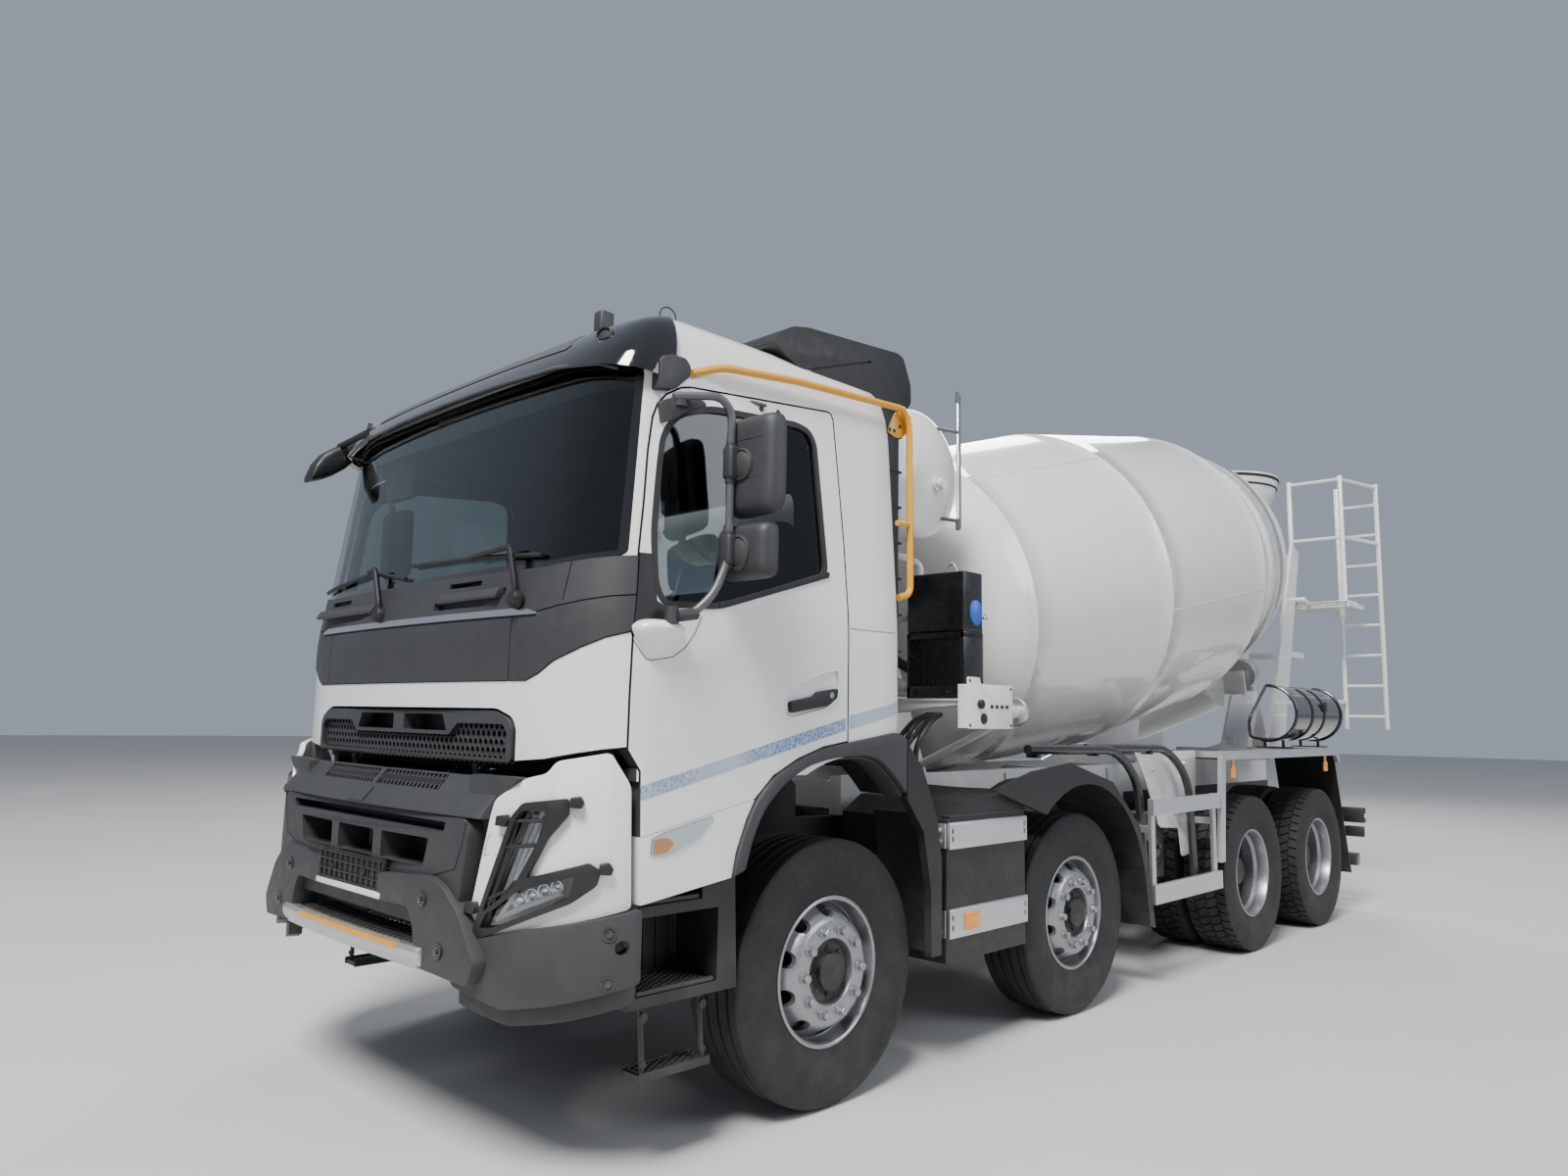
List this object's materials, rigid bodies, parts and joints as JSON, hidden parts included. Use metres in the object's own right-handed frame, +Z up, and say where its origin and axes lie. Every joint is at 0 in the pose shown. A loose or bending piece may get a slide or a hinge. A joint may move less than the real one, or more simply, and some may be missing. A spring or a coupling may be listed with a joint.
{
  "type": "concrete mixer truck",
  "caption": "Four-axle truck with a tilting cab, a turning inclined mixer drum, a hopper and ladder at the rear, and a swivelling discharge chute.",
  "frame": {"origin": "on the ground below the middle of the truck's length and width", "axes": "+X forward along the truck, +Y to its left, +Z up"},
  "size_m": [9.34, 3.094, 3.9692],
  "materials": {
    "aluminium": "clean",
    "black_paint": "clean",
    "black_plastic": "clean",
    "engine_iron": "clean",
    "fabric": "clean",
    "frame_paint": "clean",
    "glass": "clean",
    "grey_plastic": "clean",
    "lamp_plastic": "clean",
    "mixer_paint": "clean",
    "steel": "clean",
    "tyre": "clean",
    "white_paint": "clean",
    "yellow_paint": "clean"
  },
  "bodies": {
    "chassis": {"frame": "frame_paint", "subframe": "mixer_paint", "engine": "engine_iron", "axles": "engine_iron", "bumper": "grey_plastic", "bumper_step": "steel", "corner_panels": "white_paint", "lamps": "lamp_plastic", "step_wells": "black_plastic", "battery_box": "black_plastic", "fuel_tank": "aluminium", "fenders": "black_plastic", "guards": "aluminium", "front_pedestal": "mixer_paint", "rear_pedestal": "mixer_paint", "water_tank": "mixer_paint", "oil_cooler": "black_paint", "hopper": "mixer_paint", "ladder": "mixer_paint", "extension_chute": "black_paint"},
    "cab": {"cab_shell": "white_paint", "windscreen": "glass", "visor": "grey_plastic", "cab_trim": "grey_plastic", "dashboard": "black_plastic", "seats": "fabric", "air_intake": "black_plastic", "grab_rail": "yellow_paint"},
    "left_door": {"door_left": "white_paint", "door_glass_left": "glass", "mirrors_left": "black_plastic"},
    "right_door": {"door_right": "white_paint", "door_glass_right": "glass", "mirrors_right": "black_plastic"},
    "mixer_drum": {"drum": "mixer_paint"},
    "left_roller": {"roller_left": "steel"},
    "right_roller": {"roller_right": "steel"},
    "swivel": {"chute_swivel": "mixer_paint"},
    "discharge_chute": {"chute": "mixer_paint"},
    "left_knuckle_1": {"knuckle_1_left": "engine_iron"},
    "left_wheel_1": {"tyre_1_left": "tyre", "rim_1_left": "steel"},
    "right_knuckle_1": {"knuckle_1_right": "engine_iron"},
    "right_wheel_1": {"tyre_1_right": "tyre", "rim_1_right": "steel"},
    "left_knuckle_2": {"knuckle_2_left": "engine_iron"},
    "left_wheel_2": {"tyre_2_left": "tyre", "rim_2_left": "steel"},
    "right_knuckle_2": {"knuckle_2_right": "engine_iron"},
    "right_wheel_2": {"tyre_2_right": "tyre", "rim_2_right": "steel"},
    "left_wheels_3": {"tyres_3_left": "tyre", "rims_3_left": "steel"},
    "right_wheels_3": {"tyres_3_right": "tyre", "rims_3_right": "steel"},
    "left_wheels_4": {"tyres_4_left": "tyre", "rims_4_left": "steel"},
    "right_wheels_4": {"tyres_4_right": "tyre", "rims_4_right": "steel"}
  },
  "joints": [
    {"name": "cab_tilt", "type": "hinge", "parent": "chassis", "child": "cab", "pos_m": [4.385, 0, 1.355], "axis": [0, 1, 0], "range_deg": [0, 55]},
    {"name": "left_door_swing", "type": "hinge", "parent": "cab", "child": "left_door", "pos_m": [4.145, 1.235, 1.9], "axis": [0, 0, -1], "range_deg": [0, 70]},
    {"name": "right_door_swing", "type": "hinge", "parent": "cab", "child": "right_door", "pos_m": [4.145, -1.235, 1.9], "axis": [0, 0, 1], "range_deg": [0, 70]},
    {"name": "steer_1_left", "type": "hinge", "parent": "chassis", "child": "left_knuckle_1", "pos_m": [3.125, 0.83, 0.53], "axis": [0, 0, 1], "range_deg": [-36, 36]},
    {"name": "roll_1_left", "type": "hinge", "parent": "left_knuckle_1", "child": "left_wheel_1", "pos_m": [3.125, 1.03, 0.53], "axis": [0, 1, 0], "continuous": true},
    {"name": "steer_1_right", "type": "hinge", "parent": "chassis", "child": "right_knuckle_1", "pos_m": [3.125, -0.83, 0.53], "axis": [0, 0, 1], "range_deg": [-36, 36]},
    {"name": "roll_1_right", "type": "hinge", "parent": "right_knuckle_1", "child": "right_wheel_1", "pos_m": [3.125, -1.03, 0.53], "axis": [0, 1, 0], "continuous": true},
    {"name": "steer_2_left", "type": "hinge", "parent": "chassis", "child": "left_knuckle_2", "pos_m": [1.13, 0.83, 0.53], "axis": [0, 0, 1], "range_deg": [-21.6, 21.6]},
    {"name": "roll_2_left", "type": "hinge", "parent": "left_knuckle_2", "child": "left_wheel_2", "pos_m": [1.13, 1.03, 0.53], "axis": [0, 1, 0], "continuous": true},
    {"name": "steer_2_right", "type": "hinge", "parent": "chassis", "child": "right_knuckle_2", "pos_m": [1.13, -0.83, 0.53], "axis": [0, 0, 1], "range_deg": [-21.6, 21.6]},
    {"name": "roll_2_right", "type": "hinge", "parent": "right_knuckle_2", "child": "right_wheel_2", "pos_m": [1.13, -1.03, 0.53], "axis": [0, 1, 0], "continuous": true},
    {"name": "roll_3_left", "type": "hinge", "parent": "chassis", "child": "left_wheels_3", "pos_m": [-1.25, 0.92, 0.53], "axis": [0, 1, 0], "continuous": true},
    {"name": "roll_3_right", "type": "hinge", "parent": "chassis", "child": "right_wheels_3", "pos_m": [-1.25, -0.92, 0.53], "axis": [0, 1, 0], "continuous": true},
    {"name": "roll_4_left", "type": "hinge", "parent": "chassis", "child": "left_wheels_4", "pos_m": [-2.62, 0.92, 0.53], "axis": [0, 1, 0], "continuous": true},
    {"name": "roll_4_right", "type": "hinge", "parent": "chassis", "child": "right_wheels_4", "pos_m": [-2.62, -0.92, 0.53], "axis": [0, 1, 0], "continuous": true},
    {"name": "drum_turn", "type": "hinge", "parent": "chassis", "child": "mixer_drum", "pos_m": [1.705, 0, 2.11], "axis": [-0.9816, 0, 0.1908], "continuous": true},
    {"name": "roller_left_turn", "type": "hinge", "parent": "chassis", "child": "left_roller", "pos_m": [-2.8011, 0.61222, 1.98781], "axis": [-0.9816, 0, 0.1908], "continuous": true},
    {"name": "roller_right_turn", "type": "hinge", "parent": "chassis", "child": "right_roller", "pos_m": [-2.8011, -0.61222, 1.98781], "axis": [-0.9816, 0, 0.1908], "continuous": true},
    {"name": "chute_turn", "type": "hinge", "parent": "chassis", "child": "swivel", "pos_m": [-3.935, 0, 2], "axis": [0, 0, -1], "range_deg": [0, 110]},
    {"name": "chute_lift", "type": "hinge", "parent": "swivel", "child": "discharge_chute", "pos_m": [-3.935, -0.2, 1.88], "axis": [-1, 0, 0], "range_deg": [-20, 25]}
  ],
  "couplings": [
    {"joint": "steer_1_right", "follows": "steer_1_left", "ratio": 1},
    {"joint": "steer_2_left", "follows": "steer_1_left", "ratio": 0.6},
    {"joint": "steer_2_right", "follows": "steer_1_left", "ratio": 0.6},
    {"joint": "roller_left_turn", "follows": "drum_turn", "ratio": -8.24},
    {"joint": "roller_right_turn", "follows": "drum_turn", "ratio": -8.24}
  ]
}
